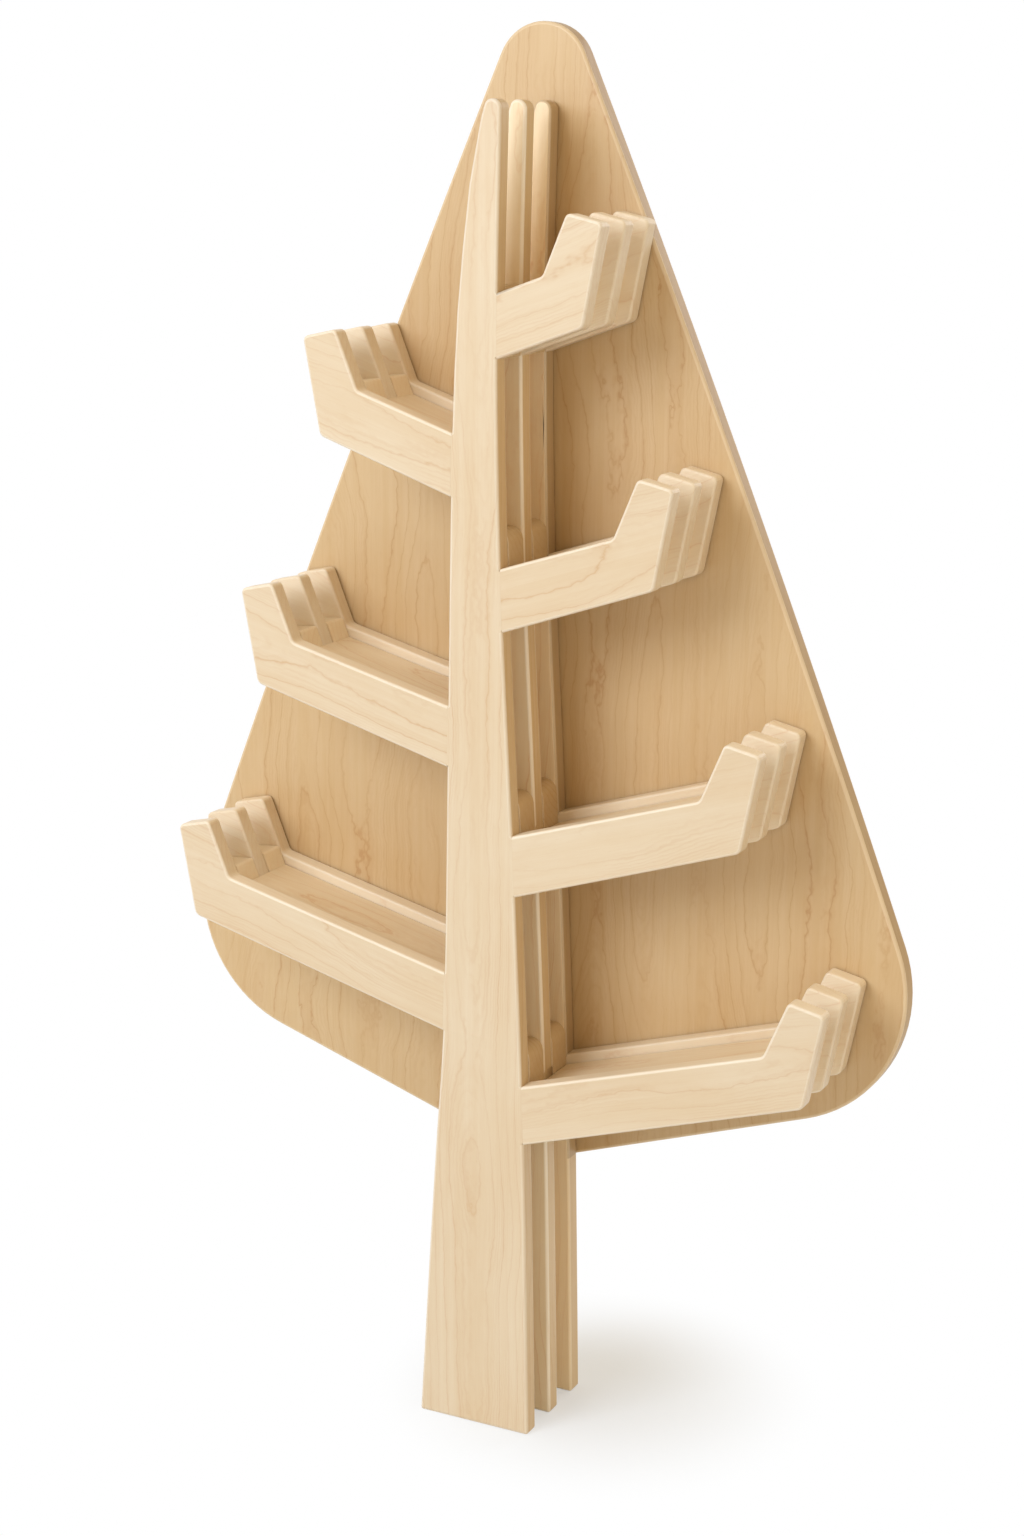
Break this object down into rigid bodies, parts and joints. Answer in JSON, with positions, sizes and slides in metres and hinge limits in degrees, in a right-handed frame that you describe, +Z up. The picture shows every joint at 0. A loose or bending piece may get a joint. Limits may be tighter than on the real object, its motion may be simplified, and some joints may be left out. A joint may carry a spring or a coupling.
{
  "type": "tree shaped bookshelf",
  "caption": "Free-standing tree shaped bookshelf: flat trunks with upswept branches carry sloping book trays in front of a rounded triangular back panel.",
  "frame": {"origin": "on the floor, at the centre of the panel width and of the overall depth", "axes": "+Z up, -Y out of the front tree towards the viewer, +X to the right as seen from the front, the side with four branches"},
  "size_m": [0.882, 0.162, 1.5332],
  "materials": {
    "maple": "pale satin lacquered maple",
    "panel_maple": "tan satin lacquered maple, vertical grain",
    "zinc": "zinc plated bolt heads"
  },
  "bodies": {
    "root": {"front_trunk": "maple", "front_right_branch_1": "maple", "front_right_branch_2": "maple", "front_right_branch_3": "maple", "front_right_branch_4": "maple", "front_left_branch_1": "maple", "front_left_branch_2": "maple", "front_left_branch_3": "maple", "middle_trunk": "maple", "middle_right_branch_1": "maple", "middle_right_branch_2": "maple", "middle_right_branch_3": "maple", "middle_right_branch_4": "maple", "middle_left_branch_1": "maple", "middle_left_branch_2": "maple", "middle_left_branch_3": "maple", "rear_trunk": "maple", "rear_right_branch_1": "maple", "rear_right_branch_2": "maple", "rear_right_branch_3": "maple", "rear_right_branch_4": "maple", "rear_left_branch_1": "maple", "rear_left_branch_2": "maple", "rear_left_branch_3": "maple", "right_tray_floor_1": "maple", "right_tray_floor_2": "maple", "right_tray_floor_3": "maple", "right_tray_floor_4": "maple", "left_tray_floor_1": "maple", "left_tray_floor_2": "maple", "left_tray_floor_3": "maple", "right_tip_block_front_1": "maple", "right_tip_block_front_2": "maple", "right_tip_block_front_3": "maple", "right_tip_block_front_4": "maple", "left_tip_block_front_1": "maple", "left_tip_block_front_2": "maple", "left_tip_block_front_3": "maple", "trunk_spacer_front_1": "maple", "trunk_spacer_front_2": "maple", "trunk_spacer_front_3": "maple", "trunk_spacer_front_4": "maple", "right_tip_block_rear_1": "maple", "right_tip_block_rear_2": "maple", "right_tip_block_rear_3": "maple", "right_tip_block_rear_4": "maple", "left_tip_block_rear_1": "maple", "left_tip_block_rear_2": "maple", "left_tip_block_rear_3": "maple", "trunk_spacer_rear_1": "maple", "trunk_spacer_rear_2": "maple", "trunk_spacer_rear_3": "maple", "trunk_spacer_rear_4": "maple", "back_panel": "panel_maple", "frame_bolt_1": "zinc", "frame_bolt_2": "zinc", "frame_bolt_3": "zinc", "frame_bolt_4": "zinc"}
  },
  "joints": []
}
